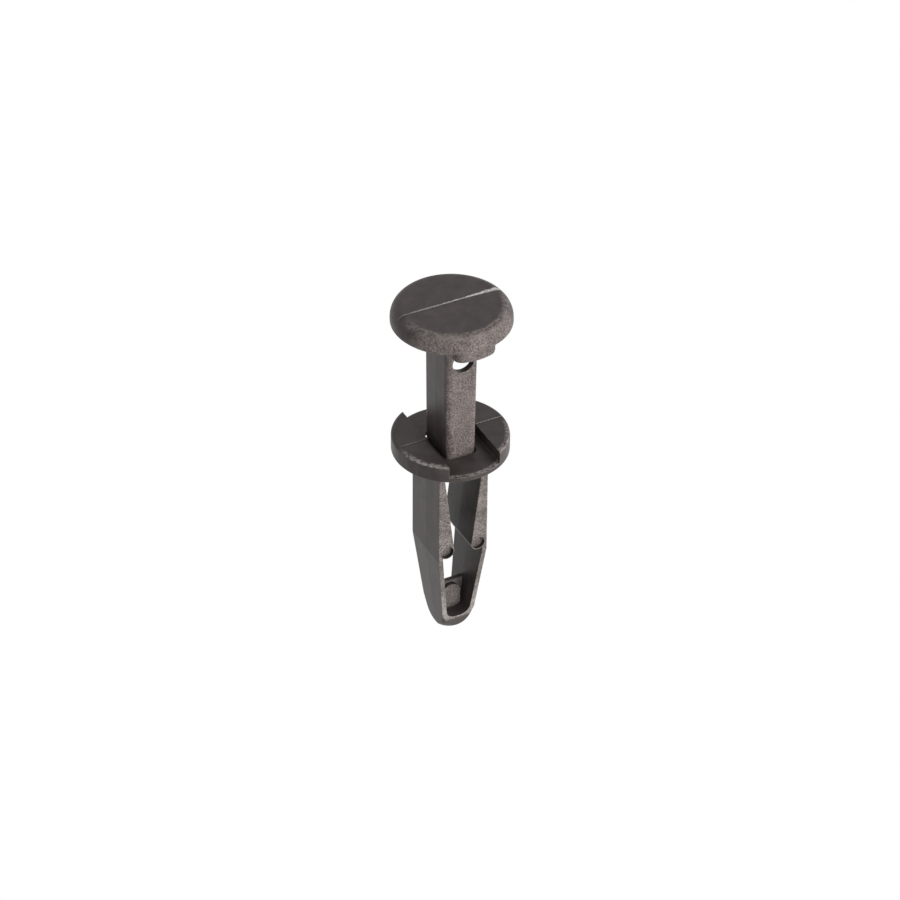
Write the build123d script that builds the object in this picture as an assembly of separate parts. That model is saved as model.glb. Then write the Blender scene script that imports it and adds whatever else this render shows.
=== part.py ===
from build123d import *
from math import asin, atan2, cos, hypot, pi, radians, sin, sqrt, tan
import os

# A push-in trim fastener of two mouldings, with its pin drawn out as it is sold.
# It is built standing: Z runs up the pin and Z = 0 is the top of the body's flange,
# X runs from leg to leg, and Y is the way the two mould halves open, with the
# parting plane at Y = 0. On its side it would roll on its two round rims, so at the end
# it is turned over and stands on its flat head.
# All sizes are in millimetres.

# Pin: head
head_diameter = 14.4
head_thickness = 2.2
head_land = 0.35  # upright band at the widest part of the head
head_crown_width = 1.3  # how far the rounded rim reaches in from the edge
edge_break = 0.15  # small chamfer on the lower rims of head and flange

# Pin: bar under the head, which drops into the flange's channel
bar_clearance = 0.65  # between the bar and each side of the channel
bar_floor_gap = 0.05  # left under the bar when the pin is home
bar_setback = 0.35  # of the bar's ends from the head's rim
bar_edge_round = 0.45
bar_corner_round = 1.2

# Pin: stem, a tapered bar that is thinnest at its lower end
stem_width_top = 4.3
stem_width_low = 4.05
stem_depth_top = 6.2
stem_depth_low = 5.9
stem_corner = 0.8
stem_hole_diameter = 2.8
stem_hole_drop = 2.6  # from the bar's underside to the hole's centre
stem_hole_wall = 0.8  # thickness of the front wall that the hole goes through
stem_side_wall = 0.85  # wall left beside the relief behind the hole
relief_slope = 39.0  # degrees, of the relief's floor towards the back

# Pin: nose below the flange, with a lip that keeps the pin in the body
nose_length = 2.9
nose_tip_width = 1.9
nose_tip_depth = 4.2
nose_round = 0.3
lip_height = 0.3
lip_catch = 0.12  # how far the lip reaches past the floor hole on each side
lip_gap = 0.05  # under the floor, with the pin drawn out
lip_depth = 5.7

# How far the pin is pushed in before its head seats on the flange
travel = 16.2

# Body: flange, which the head covers
flange_setback = 0.1  # of its rim from the head's
flange_floor = 0.7  # thickness under the channel
flange_top_round = 0.4
parting_step = 0.08  # how much lower the front mould half left the raised tops
channel_width = 6.7
channel_depth = 1.6
hole_clearance = 0.06  # round the thickest part of the stem
slot_recess = 0.15  # how far the slot between the legs is sunk into the floor

# Body: legs and tip
body_width = 6.65
body_depth = 7.05
straight_length = 14.2  # from the flange down to where the tip begins to taper
taper_length = 12.9
tip_width = 3.7
tip_depth = 4.4
tip_round = 1.15
tip_dome_radius = 3.0
tip_dome_flare = 20.0  # degrees, of the cone that leads from the dome to the legs' corners
leg_wall = 0.72  # of the thin legs beside the pocket
leg_gap = 5.35  # between the legs under the flange
barb_gap = 2.2  # between the two barbs
barb_seat = 0.5  # how far each round barb sinks into its leg
barb_rise = 1.2  # from where the tip begins to taper up to the barbs' centres
dimple_diameter = 1.7
dimple_depth = 0.55
tip_solid = 2.7  # solid plastic below the pocket
pocket_round = 1.3

# Body: web across the pocket on the parting plane
web_drop = 6.5  # from where the tip begins to taper down to the web's top at the back
web_step = 0.25  # how much lower the web's front half ends
web_back = 0.6
web_front = 0.6
web_arch_radius = 1.25

# Both mouldings
draft = 1.2  # degrees, from the parting plane outwards

# Levels and sizes that follow from the ones above
flange_diameter = head_diameter - 2 * flange_setback
barb_radius = (body_width / 2 - leg_wall + barb_seat - barb_gap / 2) / 2
floor_top = -channel_depth
underside = floor_top - flange_floor
slot_top = underside + slot_recess
lip_top = slot_top - lip_gap
taper_start = underside - straight_length
barb_level = taper_start + barb_rise
tip_end = taper_start - taper_length
pocket_end = tip_end + tip_solid
head_underside = travel
head_top = head_underside + head_thickness
bar_height = channel_depth - bar_floor_gap
bar_width = channel_width - 2 * bar_clearance
bar_underside = head_underside - bar_height
stem_hole_level = bar_underside - stem_hole_drop
floor_hole_width = stem_width_top + 2 * hole_clearance
floor_hole_depth = stem_depth_top + 2 * hole_clearance
well_clear = 2 * (head_diameter + body_depth)  # longer than any cut needs


def profile(*edges):
    """A flat face from edges that are given in turn."""
    return make_face(Curve() + list(edges))


def side_prism(outline, width):
    """An outline drawn as Y against Z, drawn out both ways along X."""
    return extrude(Plane.YZ * outline, amount=width / 2, both=True)


def front_prism(outline, depth):
    """An outline drawn as X against Z, drawn out both ways along Y."""
    return extrude(Plane.XZ * outline, amount=depth / 2, both=True)


def drafted_prism(outline_at, depth):
    """The same, but with draft: outline_at gives the outline with its walls moved by a distance."""
    move = depth / 2 * tan(radians(draft))
    front = loft([Plane.XZ * outline_at(0), Plane.XZ.offset(depth / 2) * outline_at(move)], ruled=True)
    return front + mirror(front, about=Plane.XZ)


def bar_section(width, depth, corner):
    """A rectangle that is widest on the parting plane, with rounded corners."""
    half, reach = width / 2, depth / 2
    narrow = half - reach * tan(radians(draft))
    outline = Polyline(
        (half, 0), (narrow, reach), (-narrow, reach),
        (-half, 0), (-narrow, -reach), (narrow, -reach),
        close=True,
    )
    face = make_face(outline)
    corners = [v for v in face.vertices() if abs(v.Y) > reach / 2]
    return fillet(corners, corner)


def head():
    radius = head_diameter / 2
    crown = head_thickness - head_land - edge_break
    land_top = head_underside + edge_break + head_land
    flat = radius - head_crown_width
    outline = profile(
        Line((0, head_underside), (radius - edge_break, head_underside)),
        Line((radius - edge_break, head_underside), (radius, head_underside + edge_break)),
        Line((radius, head_underside + edge_break), (radius, land_top)),
        EllipticalCenterArc((flat, land_top), head_crown_width, crown, start_angle=0, arc_size=90),
        Line((flat, head_top), (0, head_top)),
        Line((0, head_top), (0, head_underside)),
    )
    return revolve(Plane.XZ * outline, Axis.Z)


def bar():
    middle = head_underside - bar_height / 2
    long_bar = Pos(0, 0, middle) * Box(bar_width, head_diameter, bar_height)
    rim = Pos(0, 0, middle) * Cylinder(head_diameter / 2 - bar_setback, bar_height)
    solid = fillet((long_bar & rim).edges().filter_by(Axis.Z), bar_corner_round)
    return fillet(solid.faces().sort_by(Axis.Z)[0].edges(), bar_edge_round)


def stem():
    top = Pos(0, 0, head_underside) * bar_section(stem_width_top, stem_depth_top, stem_corner)
    low = Pos(0, 0, lip_top) * bar_section(stem_width_low, stem_depth_low, stem_corner)
    return loft([low, top], ruled=True)


def nose():
    lip_width = floor_hole_width + 2 * lip_catch
    wide = bar_section(lip_width, lip_depth, stem_corner)
    lip = extrude(Pos(0, 0, lip_top - lip_height) * wide, amount=lip_height)
    tip = bar_section(nose_tip_width, nose_tip_depth, nose_round)
    cone = loft([Pos(0, 0, lip_top - nose_length) * tip, Pos(0, 0, lip_top - lip_height) * wide], ruled=True)
    return lip + cone


def stem_relief():
    """The round hole in the front wall, and the space cored behind it from the back and the right."""
    radius = stem_hole_diameter / 2
    hole = Pos(0, 0, stem_hole_level) * Rot(X=90) * Cylinder(radius, well_clear)
    wall_back = stem_hole_wall - stem_depth_top / 2
    roof = stem_hole_level + radius
    sill = stem_hole_level - radius - stem_hole_wall
    reach = stem_depth_top
    drop = (reach - wall_back) * tan(radians(relief_slope))
    outline = make_face(
        Polyline((wall_back, sill), (reach, sill - drop), (reach, roof), (wall_back, roof), close=True)
    )
    left = stem_side_wall - stem_width_top / 2
    right = stem_width_top
    cored = Pos((left + right) / 2, 0, 0) * side_prism(outline, right - left)
    ahead = Pos(0, -well_clear / 2, stem_hole_level) * Box(well_clear, well_clear, well_clear)
    return cored + (hole & ahead)


def push_pin():
    return head() + bar() + (stem() - stem_relief()) + nose()


def flange():
    radius = flange_diameter / 2
    outline = profile(
        Line((0, underside), (radius - edge_break, underside)),
        Line((radius - edge_break, underside), (radius, underside + edge_break)),
        Line((radius, underside + edge_break), (radius, -flange_top_round)),
        CenterArc((radius - flange_top_round, -flange_top_round), flange_top_round, 0, 90),
        Line((radius - flange_top_round, 0), (0, 0)),
        Line((0, 0), (0, underside)),
    )
    disc = revolve(Plane.XZ * outline, Axis.Z)
    step = Pos(0, -well_clear / 2, 0) * Box(well_clear, well_clear, 2 * parting_step)
    channel = Pos(0, 0, floor_top + channel_depth) * Box(channel_width, well_clear, 2 * channel_depth)
    hole = Pos(0, 0, underside - flange_floor) * bar_section(
        floor_hole_width, floor_hole_depth, stem_corner + hole_clearance
    )
    return disc - step - channel - extrude(hole, amount=3 * flange_floor)


def tapered_outline(width, end_width, inset=0.0):
    """A straight outline that tapers to a rounded end, from the flange down."""
    half, end_half = width / 2 - inset, end_width / 2 - inset
    outline = make_face(
        Polyline(
            (half, underside), (half, taper_start), (end_half, tip_end),
            (-end_half, tip_end), (-half, taper_start), (-half, underside),
            close=True,
        )
    )
    ends = outline.vertices().sort_by(Axis.Y)[:2]
    return fillet(ends, tip_round)


def tip_dome():
    """Round all about, it takes the corners off the tip and widens above so as to clear the legs."""
    radius, flare = tip_dome_radius, radians(tip_dome_flare)
    middle = tip_end + radius
    touch = (radius * cos(flare), middle - radius * sin(flare))
    reach = body_width + body_depth
    top = (touch[0] + reach * tan(flare), touch[1] + reach)
    half_way = (pi / 2 - flare) / 2
    outline = profile(
        ThreePointArc((0, tip_end), (radius * sin(half_way), middle - radius * cos(half_way)), touch),
        Line(touch, top),
        Line(top, (0, top[1])),
        Line((0, top[1]), (0, tip_end)),
    )
    return revolve(Plane.XZ * outline, Axis.Z)


def slot_side(sign, widen):
    """One side of the slot from the flange down: ramp, round barb, pocket wall and end."""
    top_x = leg_gap / 2 + widen
    barb_x = barb_gap / 2 + barb_radius
    radius = barb_radius - widen
    # The ramp runs into the barb's circle without a corner
    ramp_fall = slot_top - barb_level
    lean = asin(radius / hypot(ramp_fall, barb_x - top_x)) - atan2(barb_x - top_x, ramp_fall)
    touch = (barb_x - radius * cos(lean), barb_level + radius * sin(lean))
    wall_x = body_width / 2 - leg_wall + widen
    fall = sqrt(radius**2 - (wall_x - barb_x) ** 2)
    slope = (body_width - tip_width) / 2 / taper_length
    end_x = wall_x - slope * (taper_start - pocket_end)
    corners = [
        (top_x, slot_top),
        touch,
        (barb_x, barb_level - radius),
        (wall_x, barb_level - fall),
        (wall_x, taper_start),
        (end_x, pocket_end - widen),
    ]
    return [(sign * x, z) for x, z in corners]


def slot_outline(widen=0.0):
    """The whole opening between the legs, seen from the front."""
    right, left = slot_side(1, widen), slot_side(-1, widen)
    edges = [Line(left[0], right[0]), Line(right[-1], left[-1])]
    for top, touch, lowest, back, knee, end in (right, left):
        edges += [Line(top, touch), ThreePointArc(touch, lowest, back), Line(back, knee), Line(knee, end)]
    face = profile(*edges)
    ends = face.vertices().sort_by(Axis.Y)[:2]
    return fillet(ends, pocket_round)


def web():
    """The wall across the lower pocket, with a flat top at the back and an arched one in front."""
    top = taper_start - web_drop
    front_top = top - web_step
    foot = pocket_end - tip_solid / 2  # inside the solid tip
    back = Polyline((0, top), (web_back, top), (web_back, foot), (0, foot), close=True)
    front = Polyline((0, front_top), (-web_front, front_top), (-web_front, foot), (0, foot), close=True)
    arch_middle = front_top - web_arch_radius
    arch = Pos(0, arch_middle) * Circle(web_arch_radius)
    arch += Pos(0, arch_middle - taper_length / 2) * Rectangle(2 * web_arch_radius, taper_length)
    return side_prism(make_face(back), body_width) + (
        side_prism(make_face(front), body_width) & front_prism(arch, body_depth)
    )


def dimples():
    """Shallow round sinkings on the barbs' ends, front and back."""
    found = []
    for x in (-1, 1):
        for y in (-1, 1):
            place = Pos(x * (barb_gap / 2 + barb_radius), y * body_depth / 2, barb_level)
            found.append(place * Rot(X=90) * Cylinder(dimple_diameter / 2, 2 * dimple_depth))
    return found


def split_body():
    legs = drafted_prism(lambda inset: tapered_outline(body_width, tip_width, inset), body_depth)
    legs &= side_prism(tapered_outline(body_depth, tip_depth), 2 * body_width)
    lower = Pos(0, 0, taper_start - well_clear / 2) * Box(well_clear, well_clear, well_clear)
    legs = (legs - lower) + (legs & lower & tip_dome())
    opening = drafted_prism(slot_outline, body_depth) - web()
    return (flange() + legs) - opening - dimples()


stood_on_head = Pos(0, 0, head_top) * Rot(Y=180)

os.makedirs("parts", exist_ok=True)
for name, solid in (("push_pin", push_pin()), ("split_body", split_body())):
    placed = stood_on_head * solid
    placed.label = name
    export_step(placed, f"parts/{name}.step")
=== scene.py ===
import bpy
import math
from mathutils import Matrix, Vector


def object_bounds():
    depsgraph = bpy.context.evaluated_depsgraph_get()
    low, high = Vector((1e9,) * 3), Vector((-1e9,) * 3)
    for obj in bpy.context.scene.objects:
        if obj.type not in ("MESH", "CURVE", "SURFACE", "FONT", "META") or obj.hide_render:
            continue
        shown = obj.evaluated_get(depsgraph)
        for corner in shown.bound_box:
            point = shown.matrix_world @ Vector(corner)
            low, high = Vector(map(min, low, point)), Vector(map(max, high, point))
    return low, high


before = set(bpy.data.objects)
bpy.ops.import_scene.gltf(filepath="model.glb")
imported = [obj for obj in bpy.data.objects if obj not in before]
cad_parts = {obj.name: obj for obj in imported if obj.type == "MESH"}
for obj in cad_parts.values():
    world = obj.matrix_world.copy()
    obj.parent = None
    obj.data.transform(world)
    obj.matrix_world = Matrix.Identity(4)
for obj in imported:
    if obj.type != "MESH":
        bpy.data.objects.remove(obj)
cad_low, cad_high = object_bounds()
MM = 0.001

# The pin: one injection moulding of dyed polypropylene, with a round head, a bar under it,
# a tapered stem and a short nose. Faces along the mould's opening have the tool's spark-eroded
# grain and look paler, and the others were wiped smooth as the mould opened.

GRAIN_WIDTH = 0.2 * MM  # the tool's pits are about 0.05 mm, drawn coarser so that they show
PIT_DEPTH = 0.14 * MM
FLOW_WIDTH = 2.0 * MM
STREAK_WIDTH = 0.6 * MM
STREAK_STRETCH = (1.0, 1.0, 0.04)  # streaks are drawn out along Z
EDGE_RADIUS = 0.1 * MM
GRAIN_TURN = 0.25  # more of Y in the normal, from where the grain starts to where it is full
RIM_BLEND = 0.2 * MM
END_BLEND = 0.6 * MM
# The edges' pale line, partly wear and partly painted highlight, is least and most at these X
WEAR_HIGHLIGHT_LEAST_X = 3.0 * MM
WEAR_HIGHLIGHT_MOST_X = -1.0 * MM
# Frost on round upper edges, with painted highlight in it
FROST_HIGHLIGHT_WIDTH = 0.45 * MM
FROST_HIGHLIGHT_BLEND = 0.3 * MM
FROST_HIGHLIGHT_FROM_Y = -0.1 * MM
FROST_HIGHLIGHT_FULL_Y = -2.0 * MM

# The Mix node's colour sockets share their names with others, so they go by number
FACTOR, UNDER, OVER, MIXED = 0, 6, 7, 2


def linear(hex_colour):
    """An sRGB hex colour as the linear RGBA that sockets take."""
    parts = [int(hex_colour[i:i + 2], 16) / 255 for i in (1, 3, 5)]
    return [c / 12.92 if c <= 0.04045 else ((c + 0.055) / 1.055) ** 2.4 for c in parts] + [1.0]


def add_node(tree, kind, settings=None, links=None):
    """Adds a node. Settings are values of its properties or sockets, links are sockets to join."""
    node = tree.nodes.new(kind)
    for name, value in (settings or {}).items():
        if isinstance(name, int) or name in node.inputs:
            node.inputs[name].default_value = value
        else:
            setattr(node, name, value)
    for name, socket in (links or {}).items():
        tree.links.new(socket, node.inputs[name])
    return node


def moulded_polypropylene(
    name, smooth_colour, grain_colour, wear_and_highlight_colour, grain_from, smooth_rim, smooth_end
):
    """Dyed polypropylene, injection moulded: wiped smooth on the sides, grained front and back.

    Grain starts where the face's normal has this much of Y, and it ends at a distance from the
    axis (smooth_rim) and at a height (smooth_end), in metres. Each mask is the next one's To Max.
    Returns the material, its surface node and the node with the finished colour.
    """
    material = bpy.data.materials.new(name)
    material.use_nodes = True
    tree = material.node_tree
    tree.nodes.clear()
    place = add_node(tree, "ShaderNodeTexCoord")
    normal = add_node(
        tree, "ShaderNodeVectorMath", {"operation": "ABSOLUTE"}, {0: place.outputs["Normal"]}
    )
    facing = add_node(tree, "ShaderNodeSeparateXYZ", links={0: normal.outputs[0]})
    spot = add_node(tree, "ShaderNodeSeparateXYZ", links={0: place.outputs["Object"]})
    level = add_node(
        tree, "ShaderNodeCombineXYZ", links={0: spot.outputs["X"], 1: spot.outputs["Y"]}
    )
    radius = add_node(
        tree, "ShaderNodeVectorMath", {"operation": "LENGTH"}, {0: level.outputs[0]}
    )
    turned = add_node(
        tree, "ShaderNodeMapRange",
        {"From Min": grain_from, "From Max": grain_from + GRAIN_TURN},
        {0: facing.outputs["Y"]},
    )
    inside = add_node(
        tree, "ShaderNodeMapRange",
        {"From Min": smooth_rim + RIM_BLEND, "From Max": smooth_rim},
        {0: radius.outputs["Value"], "To Max": turned.outputs[0]},
    )
    grained = add_node(
        tree, "ShaderNodeMapRange",
        {"From Min": smooth_end + END_BLEND, "From Max": smooth_end},
        {0: spot.outputs["Z"], "To Max": inside.outputs[0]},
    )

    grain = add_node(
        tree, "ShaderNodeTexNoise", {"Scale": 1 / GRAIN_WIDTH, "Detail": 5.0, "Roughness": 0.75},
        {"Vector": place.outputs["Object"]},
    )
    pits = add_node(
        tree, "ShaderNodeMapRange",
        {"From Min": 0.38, "From Max": 0.66, "To Min": 0.38, "To Max": 2.0},
        {0: grain.outputs["Fac"]},
    )
    # Slow flow marks and dust
    flow = add_node(
        tree, "ShaderNodeTexNoise", {"Scale": 1 / FLOW_WIDTH, "Detail": 4.0, "Roughness": 0.6},
        {"Vector": place.outputs["Object"]},
    )
    drift = add_node(
        tree, "ShaderNodeMapRange",
        {"From Min": 0.3, "From Max": 0.7, "To Min": 0.7, "To Max": 1.25},
        {0: flow.outputs["Fac"]},
    )
    # Streaks along the length, where the plastic flowed down the side walls
    along = add_node(
        tree, "ShaderNodeMapping", {"Scale": STREAK_STRETCH}, {0: place.outputs["Object"]}
    )
    streak = add_node(
        tree, "ShaderNodeTexNoise", {"Scale": 1 / STREAK_WIDTH, "Detail": 3.0},
        {"Vector": along.outputs[0]},
    )
    streaks = add_node(
        tree, "ShaderNodeMapRange",
        {"From Min": 0.35, "From Max": 0.65, "To Min": 0.82, "To Max": 1.12},
        {0: streak.outputs["Fac"]},
    )
    smooth_tone = add_node(
        tree, "ShaderNodeMix",
        {"data_type": "RGBA", "blend_type": "MULTIPLY", UNDER: linear(smooth_colour)},
        {FACTOR: facing.outputs["X"], OVER: streaks.outputs[0]},
    )
    grain_tone = add_node(
        tree, "ShaderNodeMix",
        {"data_type": "RGBA", "blend_type": "MULTIPLY", FACTOR: 1.0, UNDER: linear(grain_colour)},
        {OVER: pits.outputs[0]},
    )
    tone = add_node(
        tree, "ShaderNodeMix", {"data_type": "RGBA"},
        {
            FACTOR: grained.outputs[0],
            UNDER: smooth_tone.outputs[MIXED],
            OVER: grain_tone.outputs[MIXED],
        },
    )
    dusty = add_node(
        tree, "ShaderNodeMix", {"data_type": "RGBA", "blend_type": "MULTIPLY", FACTOR: 1.0},
        {UNDER: tone.outputs[MIXED], OVER: drift.outputs[0]},
    )

    # Edges are a little round and carry a pale, broken line, partly wear and partly painted
    # highlight, found where the rounded normal leaves the face's own
    round_edge = add_node(tree, "ShaderNodeBevel", {"samples": 8, "Radius": EDGE_RADIUS})
    true_face = add_node(tree, "ShaderNodeNewGeometry")
    agreement = add_node(
        tree, "ShaderNodeVectorMath", {"operation": "DOT_PRODUCT"},
        {0: round_edge.outputs[0], 1: true_face.outputs["True Normal"]},
    )
    # Wear and painted highlight are heavier towards -X, the right side in the photograph, where
    # the window lamp is
    heavier = add_node(
        tree, "ShaderNodeMapRange",
        {"From Min": WEAR_HIGHLIGHT_LEAST_X, "From Max": WEAR_HIGHLIGHT_MOST_X, "To Min": 0.25, "To Max": 0.9},
        {0: spot.outputs["X"]},
    )
    broken = add_node(
        tree, "ShaderNodeMapRange", {"From Min": 0.42, "From Max": 0.6},
        {0: grain.outputs["Fac"], "To Max": heavier.outputs[0]},
    )
    edge_wear_and_highlight = add_node(
        tree, "ShaderNodeMapRange", {"From Min": 0.98, "From Max": 0.82},
        {0: agreement.outputs["Value"], "To Max": broken.outputs[0]},
    )
    finished = add_node(
        tree, "ShaderNodeMix", {"data_type": "RGBA", OVER: linear(wear_and_highlight_colour)},
        {FACTOR: edge_wear_and_highlight.outputs[0], UNDER: dusty.outputs[MIXED]},
    )
    height = add_node(
        tree, "ShaderNodeMath", {"operation": "MULTIPLY"},
        {0: grain.outputs["Fac"], 1: grained.outputs[0]},
    )
    bump = add_node(
        tree, "ShaderNodeBump", {"Strength": 0.9, "Distance": PIT_DEPTH},
        {"Height": height.outputs[0], "Normal": round_edge.outputs[0]},
    )
    sheen = add_node(
        tree, "ShaderNodeMapRange", {"To Min": 0.42, "To Max": 0.62}, {0: grained.outputs[0]}
    )
    surface = add_node(
        tree, "ShaderNodeBsdfPrincipled",
        {"IOR": 1.49, "Metallic": 0.0, "Specular IOR Level": 0.22},
        {
            "Base Color": finished.outputs[MIXED],
            "Roughness": sheen.outputs[0],
            "Normal": bump.outputs[0],
        },
    )
    add_node(tree, "ShaderNodeOutputMaterial", links={"Surface": surface.outputs[0]})
    return material, surface, finished


def frosted_highlit_edge(tree, under, from_radius, slopes, frost_and_highlight_colour):
    """Pale frost and painted highlight on the front half of a round upper edge, the half that
    faces the lamp.

    The edge lies beyond a distance from the axis, and the frost and painted highlight grow between
    two slopes of its face, given as the normal's Z. Returns the node with the colour.
    """
    place = add_node(tree, "ShaderNodeTexCoord")
    spot = add_node(tree, "ShaderNodeSeparateXYZ", links={0: place.outputs["Object"]})
    level = add_node(
        tree, "ShaderNodeCombineXYZ", links={0: spot.outputs["X"], 1: spot.outputs["Y"]}
    )
    radius = add_node(
        tree, "ShaderNodeVectorMath", {"operation": "LENGTH"}, {0: level.outputs[0]}
    )
    facing = add_node(tree, "ShaderNodeSeparateXYZ", links={0: place.outputs["Normal"]})
    broken_noise = add_node(
        tree, "ShaderNodeTexNoise", {"Scale": 1 / FROST_HIGHLIGHT_WIDTH, "Detail": 5.0, "Roughness": 0.75},
        {"Vector": place.outputs["Object"]},
    )
    rough = add_node(
        tree, "ShaderNodeMapRange", {"From Min": 0.4, "From Max": 0.62, "To Max": 0.9},
        {0: broken_noise.outputs["Fac"]},
    )
    at_rim = add_node(
        tree, "ShaderNodeMapRange",
        {"From Min": from_radius, "From Max": from_radius + FROST_HIGHLIGHT_BLEND},
        {0: radius.outputs["Value"], "To Max": rough.outputs[0]},
    )
    upward = add_node(
        tree, "ShaderNodeMapRange", {"From Min": slopes[0], "From Max": slopes[1]},
        {0: facing.outputs["Z"], "To Max": at_rim.outputs[0]},
    )
    frost_and_highlight = add_node(
        tree, "ShaderNodeMapRange", {"From Min": FROST_HIGHLIGHT_FROM_Y, "From Max": FROST_HIGHLIGHT_FULL_Y},
        {0: spot.outputs["Y"], "To Max": upward.outputs[0]},
    )
    return add_node(
        tree, "ShaderNodeMix", {"data_type": "RGBA", OVER: linear(frost_and_highlight_colour)},
        {FACTOR: frost_and_highlight.outputs[0], UNDER: under.outputs[MIXED]},
    )


def dress(node, material):
    """Gives every material slot of a CAD piece this material."""
    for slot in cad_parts[node].material_slots:
        slot.material = material


EVERYWHERE = 1.0  # metres, beyond the whole fastener
HEAD_CROWN = 5.7 * MM  # distance from the axis where the crown starts
pin_plastic, surface, finished = moulded_polypropylene(
    "pin_polypropylene",
    smooth_colour="#494140",
    grain_colour="#736a67",
    # the pale edge line's colour, partly wear and partly painted highlight
    wear_and_highlight_colour="#b4aca8",
    grain_from=0.3,
    smooth_rim=EVERYWHERE,
    smooth_end=EVERYWHERE,
)
dress("push_pin", pin_plastic)
tree = pin_plastic.node_tree
# The crown's upper front edge gets pale frost and painted highlight
crown_frost_and_highlight = frosted_highlit_edge(tree, finished, HEAD_CROWN, slopes=(-0.5, -0.85), frost_and_highlight_colour="#8f8783")

# The flash across the head's top, a torn pale line 0.2 to 0.6 mm wide, whose paleness is painted
# highlight, with painted shadow on its near side. It is drawn where the photograph shows it, 0.5
# mm behind the middle, and it is widest and its painted highlight brightest at its right end in
# the photograph, which is -X here, on the window lamp's side.

FLASH_PLACE = 0.52 * MM
FLASH_WANDER = 0.25 * MM
FLASH_TEAR_WIDTH = 0.7 * MM
FLASH_WIDENS_X = (-2.0 * MM, -6.0 * MM)
FLASH_HALF_WIDTHS = (0.11 * MM, 0.3 * MM)
# where the flash's painted highlight grows from none to full, along X
FLASH_HIGHLIGHT_GROWS_X = (9.0 * MM, -4.0 * MM)
TOP_SLOPES = (-0.5, -0.9)  # of the normal's Z, from the crown to the flat top
SHADE_OFFSET = 0.26 * MM
SHADE_EDGES = (0.18 * MM, 0.06 * MM)

place = add_node(tree, "ShaderNodeTexCoord")
spot = add_node(tree, "ShaderNodeSeparateXYZ", links={0: place.outputs["Object"]})
facing = add_node(tree, "ShaderNodeSeparateXYZ", links={0: place.outputs["Normal"]})
tear = add_node(
    tree, "ShaderNodeTexNoise", {"Scale": 1 / FLASH_TEAR_WIDTH, "Detail": 5.0, "Roughness": 0.7},
    {"Vector": place.outputs["Object"]},
)
wander = add_node(
    tree, "ShaderNodeMapRange",
    {"To Min": FLASH_PLACE - FLASH_WANDER, "To Max": FLASH_PLACE + FLASH_WANDER},
    {0: tear.outputs["Fac"]},
)
offset = add_node(
    tree, "ShaderNodeMath", {"operation": "SUBTRACT"},
    {0: spot.outputs["Y"], 1: wander.outputs[0]},
)
away = add_node(tree, "ShaderNodeMath", {"operation": "ABSOLUTE"}, {0: offset.outputs[0]})
half_width = add_node(
    tree, "ShaderNodeMapRange",
    {
        "From Min": FLASH_WIDENS_X[0],
        "From Max": FLASH_WIDENS_X[1],
        "To Min": FLASH_HALF_WIDTHS[0],
        "To Max": FLASH_HALF_WIDTHS[1],
    },
    {0: spot.outputs["X"]},
)
reach = add_node(
    tree, "ShaderNodeMath", {"operation": "DIVIDE"},
    {0: away.outputs[0], 1: half_width.outputs[0]},
)
torn = add_node(
    tree, "ShaderNodeMapRange", {"From Min": 0.38, "From Max": 0.6, "To Min": 0.35},
    {0: tear.outputs["Fac"]},
)
on_top = add_node(
    tree, "ShaderNodeMapRange", {"From Min": TOP_SLOPES[0], "From Max": TOP_SLOPES[1]},
    {0: facing.outputs["Z"], "To Max": torn.outputs[0]},
)
# The flash's painted highlight grows brighter towards -X, the window lamp's side
highlight_towards_lamp = add_node(
    tree, "ShaderNodeMapRange",
    {"From Min": FLASH_HIGHLIGHT_GROWS_X[0], "From Max": FLASH_HIGHLIGHT_GROWS_X[1]},
    {0: spot.outputs["X"], "To Max": on_top.outputs[0]},
)
line = add_node(
    tree, "ShaderNodeMapRange", {"From Min": 1.3, "From Max": 0.6},
    {0: reach.outputs[0], "To Max": highlight_towards_lamp.outputs[0]},
)

# The flash's painted shadow lies in broken bits along the line's near side
near = add_node(
    tree, "ShaderNodeMath", {"operation": "ADD", 1: SHADE_OFFSET}, {0: offset.outputs[0]}
)
near = add_node(tree, "ShaderNodeMath", {"operation": "ABSOLUTE"}, {0: near.outputs[0]})
bits = add_node(
    tree, "ShaderNodeMapRange", {"From Min": 0.48, "From Max": 0.6}, {0: tear.outputs["Fac"]}
)
bits = add_node(
    tree, "ShaderNodeMapRange", {"From Min": TOP_SLOPES[0], "From Max": TOP_SLOPES[1]},
    {0: facing.outputs["Z"], "To Max": bits.outputs[0]},
)
shade = add_node(
    tree, "ShaderNodeMapRange", {"From Min": SHADE_EDGES[0], "From Max": SHADE_EDGES[1]},
    {0: near.outputs[0], "To Max": bits.outputs[0]},
)
shaded = add_node(
    tree, "ShaderNodeMix", {"data_type": "RGBA", OVER: linear("#1d1a19")},
    {FACTOR: shade.outputs[0], UNDER: crown_frost_and_highlight.outputs[MIXED]},
)
# The pale flash line: painted highlight
flash_highlighted = add_node(
    tree, "ShaderNodeMix", {"data_type": "RGBA", OVER: linear("#f0ebe8")},
    {FACTOR: line.outputs[0], UNDER: shaded.outputs[MIXED]},
)
tree.links.new(flash_highlighted.outputs[MIXED], surface.inputs["Base Color"])

# The body: a second moulding of the same plastic, with a flange that seats on the panel, two
# legs and a solid tip. Its grain is a little paler, and its rim and tip are smooth.

FLANGE_RIM = 6.6 * MM  # distance from the axis where the grain ends
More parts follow.
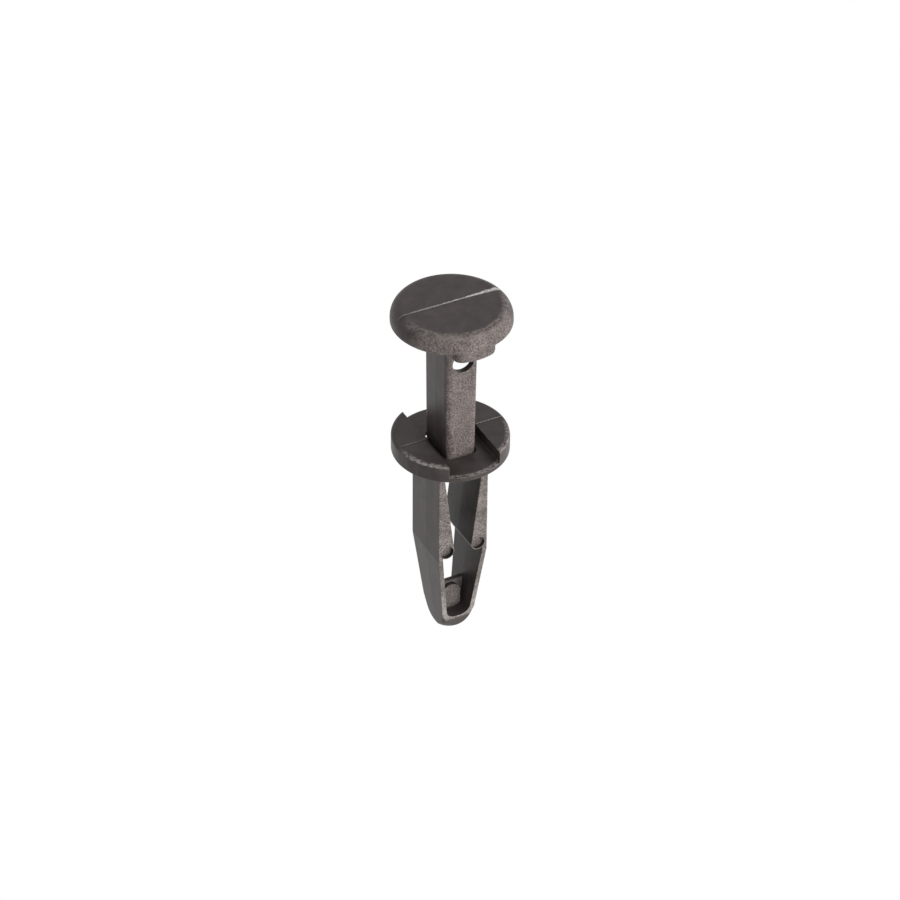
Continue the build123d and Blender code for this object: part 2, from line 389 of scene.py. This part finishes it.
# the flange rim's frost carries painted highlight too
RIM_FROST_HIGHLIGHT_LAP = 0.2 * MM  # how far in from there the frost starts
TIP_DOME = 44.7 * MM  # height where the grain ends
body_plastic, surface, finished = moulded_polypropylene(
    "body_polypropylene",
    smooth_colour="#453e3c",
    grain_colour="#78706c",
    # the pale edge line's colour, partly wear and partly painted highlight
    wear_and_highlight_colour="#cac2be",
    grain_from=0.6,
    smooth_rim=FLANGE_RIM,
    smooth_end=TIP_DOME,
)
dress("split_body", body_plastic)
tree = body_plastic.node_tree
# The flange's round upper edge: pale frost and painted highlight on its front half
rim_frost_and_highlight = frosted_highlit_edge(
    tree, finished, FLANGE_RIM - RIM_FROST_HIGHLIGHT_LAP, slopes=(-0.15, -0.5), frost_and_highlight_colour="#b0a8a4"
)

# The narrow front and back faces round the pocket's end get frost and painted highlight too, as a
# pale broken U. It grows towards the tip and stops where the dome begins.

POCKET_EDGE = 39.5 * MM
POCKET_FADE = 3.5 * MM
# Noise that breaks up the pocket's frost and painted highlight
POCKET_BREAK_WIDTH = 0.25 * MM
OUTER_FROM_Y = 1.2 * MM
OUTER_FULL_Y = 1.5 * MM
# DOME_FADE fades the frost and painted highlight
DOME_FADE = (0.9 * MM, 0.5 * MM)  # past TIP_DOME, from none of the frost to all of it
place = add_node(tree, "ShaderNodeTexCoord")
spot = add_node(tree, "ShaderNodeSeparateXYZ", links={0: place.outputs["Object"]})
normal = add_node(
    tree, "ShaderNodeVectorMath", {"operation": "ABSOLUTE"}, {0: place.outputs["Normal"]}
)
facing = add_node(tree, "ShaderNodeSeparateXYZ", links={0: normal.outputs[0]})
outer = add_node(tree, "ShaderNodeMath", {"operation": "ABSOLUTE"}, {0: spot.outputs["Y"]})
broken_noise = add_node(
    tree, "ShaderNodeTexNoise", {"Scale": 1 / POCKET_BREAK_WIDTH, "Detail": 4.0, "Roughness": 0.6},
    {"Vector": place.outputs["Object"]},
)
rough = add_node(
    tree, "ShaderNodeMapRange",
    {"From Min": 0.4, "From Max": 0.65, "To Min": 0.1, "To Max": 0.8},
    {0: broken_noise.outputs["Fac"]},
)
flat = add_node(
    tree, "ShaderNodeMapRange", {"From Min": 0.8, "From Max": 0.95},
    {0: facing.outputs["Y"], "To Max": rough.outputs[0]},
)
outside = add_node(
    tree, "ShaderNodeMapRange", {"From Min": OUTER_FROM_Y, "From Max": OUTER_FULL_Y},
    {0: outer.outputs[0], "To Max": flat.outputs[0]},
)
ended = add_node(
    tree, "ShaderNodeMapRange",
    {"From Min": TIP_DOME + DOME_FADE[0], "From Max": TIP_DOME + DOME_FADE[1]},
    {0: spot.outputs["Z"], "To Max": outside.outputs[0]},
)
frost_and_highlight = add_node(
    tree, "ShaderNodeMapRange", {"From Min": POCKET_EDGE, "From Max": POCKET_EDGE + POCKET_FADE},
    {0: spot.outputs["Z"], "To Max": ended.outputs[0]},
)
# The pale U: frost and painted highlight
edged = add_node(
    tree, "ShaderNodeMix", {"data_type": "RGBA", OVER: linear("#bdb5b1")},
    {FACTOR: frost_and_highlight.outputs[0], UNDER: rim_frost_and_highlight.outputs[MIXED]},
)
tree.links.new(edged.outputs[MIXED], surface.inputs["Base Color"])

# The stage: a pale floor that the head stands on. The photograph looks at the head's top, from
# below this floor, so the floor is clear from its underside and leaves the light on the head.

FLOOR_HALF = 1.5
FLOOR_DROP = 0.02 * MM
FLOOR_WHITE_SHARE = 0.55
corners = [(-1, -1), (1, -1), (1, 1), (-1, 1)]
mesh = bpy.data.meshes.new("floor")
mesh.from_pydata(
    [(x * FLOOR_HALF, y * FLOOR_HALF, -FLOOR_DROP) for x, y in corners], [], [(0, 1, 2, 3)]
)
floor = bpy.data.objects.new("floor", mesh)
bpy.context.collection.objects.link(floor)
paint = bpy.data.materials.new("pale_matt_paint")
paint.use_nodes = True
tree = paint.node_tree
tree.nodes.clear()
side = add_node(tree, "ShaderNodeNewGeometry")
matt = add_node(tree, "ShaderNodeBsdfDiffuse", {"Color": linear("#f4f3f1")})
clear = add_node(tree, "ShaderNodeBsdfTransparent")
# To the camera a little over half of the floor's tone is plain white, so that it stays pale
# beside its shadows
ray = add_node(tree, "ShaderNodeLightPath")
share = add_node(
    tree, "ShaderNodeMath", {"operation": "MULTIPLY", 1: FLOOR_WHITE_SHARE},
    {0: ray.outputs["Is Camera Ray"]},
)
white = add_node(tree, "ShaderNodeEmission", {"Color": linear("#ffffff"), "Strength": 1.0})
pale = add_node(
    tree, "ShaderNodeMixShader",
    links={0: share.outputs[0], 1: matt.outputs[0], 2: white.outputs[0]},
)
either = add_node(
    tree, "ShaderNodeMixShader",
    links={0: side.outputs["Backfacing"], 1: pale.outputs[0], 2: clear.outputs[0]},
)
add_node(tree, "ShaderNodeOutputMaterial", links={"Surface": either.outputs[0]})
mesh.materials.append(paint)
floor.visible_diffuse = False
floor.visible_glossy = False
floor.visible_shadow = False

# The light: an even white tent, with one large soft lamp on the side of the photograph's
# light and a weaker one above for the other views. The tent is shown brighter than it lights.

TENT_LIGHT = 0.46
TENT_SHOWN = 1.0
world = bpy.data.worlds.new("light_tent")
bpy.context.scene.world = world
world.use_nodes = True
tree = world.node_tree
tree.nodes.clear()
ray = add_node(tree, "ShaderNodeLightPath")
seen = add_node(
    tree, "ShaderNodeMath", {"operation": "MAXIMUM"},
    {0: ray.outputs["Is Camera Ray"], 1: ray.outputs["Is Glossy Ray"]},
)
seen = add_node(
    tree, "ShaderNodeMath", {"operation": "MAXIMUM"},
    {0: seen.outputs[0], 1: ray.outputs["Is Transmission Ray"]},
)
light = add_node(
    tree, "ShaderNodeBackground", {"Color": linear("#ffffff"), "Strength": TENT_LIGHT}
)
shown = add_node(
    tree, "ShaderNodeBackground", {"Color": linear("#ffffff"), "Strength": TENT_SHOWN}
)
both = add_node(
    tree, "ShaderNodeMixShader",
    links={0: seen.outputs[0], 1: light.outputs[0], 2: shown.outputs[0]},
)
add_node(tree, "ShaderNodeOutputWorld", links={"Surface": both.outputs[0]})


def soft_lamp(name, towards, distance, size, power):
    """A square lamp that shines on the fastener from one direction."""
    data = bpy.data.lights.new(name, "AREA")
    data.size = size
    data.energy = power
    lamp = bpy.data.objects.new(name, data)
    direction = Vector(towards).normalized()
    lamp.location = (cad_low + cad_high) / 2 + direction * distance
    lamp.rotation_mode = "QUATERNION"
    lamp.rotation_quaternion = direction.to_track_quat("Z", "Y")
    bpy.context.collection.objects.link(lamp)
    lamp.visible_camera = False


soft_lamp("window_side", towards=(-0.6, -1.0, -0.22), distance=0.65, size=0.75, power=5.2)
soft_lamp("ceiling", towards=(-0.3, -0.4, 1.0), distance=0.6, size=0.5, power=0.3)

# The camera: the photograph's place and lens. It sees the fastener with its head uppermost,
# so here, where the fastener stands on its head, it is below and upside down.

AZIMUTH = math.radians(27.70)
ELEVATION = math.radians(37.13)
ROLL = math.radians(-0.58)
DISTANCE = 0.3990
METRES_PER_PIXEL = 0.0001188
PHOTO_SIDE = 900
AIM_PIXEL = (450.5, 431.2)  # where the photograph shows the middle of the flange's top
FLANGE_TOP = Vector((0, 0, 18.4 * MM))
SENSOR_WIDTH = 36
NEAREST_SHOWN = 0.01


def turned_over(v):
    """A direction for the upright fastener, as it is when the fastener stands on its head."""
    return Vector((-v.x, v.y, -v.z))


back = Vector((
    -math.sin(AZIMUTH) * math.cos(ELEVATION),
    -math.cos(AZIMUTH) * math.cos(ELEVATION),
    math.sin(ELEVATION),
))
right = Vector((math.cos(AZIMUTH), -math.sin(AZIMUTH), 0))
up = back.cross(right)
rolled_right = right * math.cos(ROLL) - up * math.sin(ROLL)
rolled_up = right * math.sin(ROLL) + up * math.cos(ROLL)
columns = [turned_over(v) for v in (rolled_right, rolled_up, back)]
eye = FLANGE_TOP + turned_over(back) * DISTANCE
lens = bpy.data.cameras.new("camera")
lens.sensor_width = SENSOR_WIDTH
lens.lens = SENSOR_WIDTH * DISTANCE / (PHOTO_SIDE * METRES_PER_PIXEL)
lens.shift_x = (PHOTO_SIDE / 2 - AIM_PIXEL[0]) / PHOTO_SIDE
lens.shift_y = (AIM_PIXEL[1] - PHOTO_SIDE / 2) / PHOTO_SIDE
lens.clip_start = NEAREST_SHOWN
camera = bpy.data.objects.new("camera", lens)
camera.matrix_world = Matrix(
    [[*(c[i] for c in columns), eye[i]] for i in range(3)] + [[0, 0, 0, 1]]
)
bpy.context.collection.objects.link(camera)
bpy.context.scene.camera = camera
bpy.context.scene.view_settings.view_transform = "Standard"
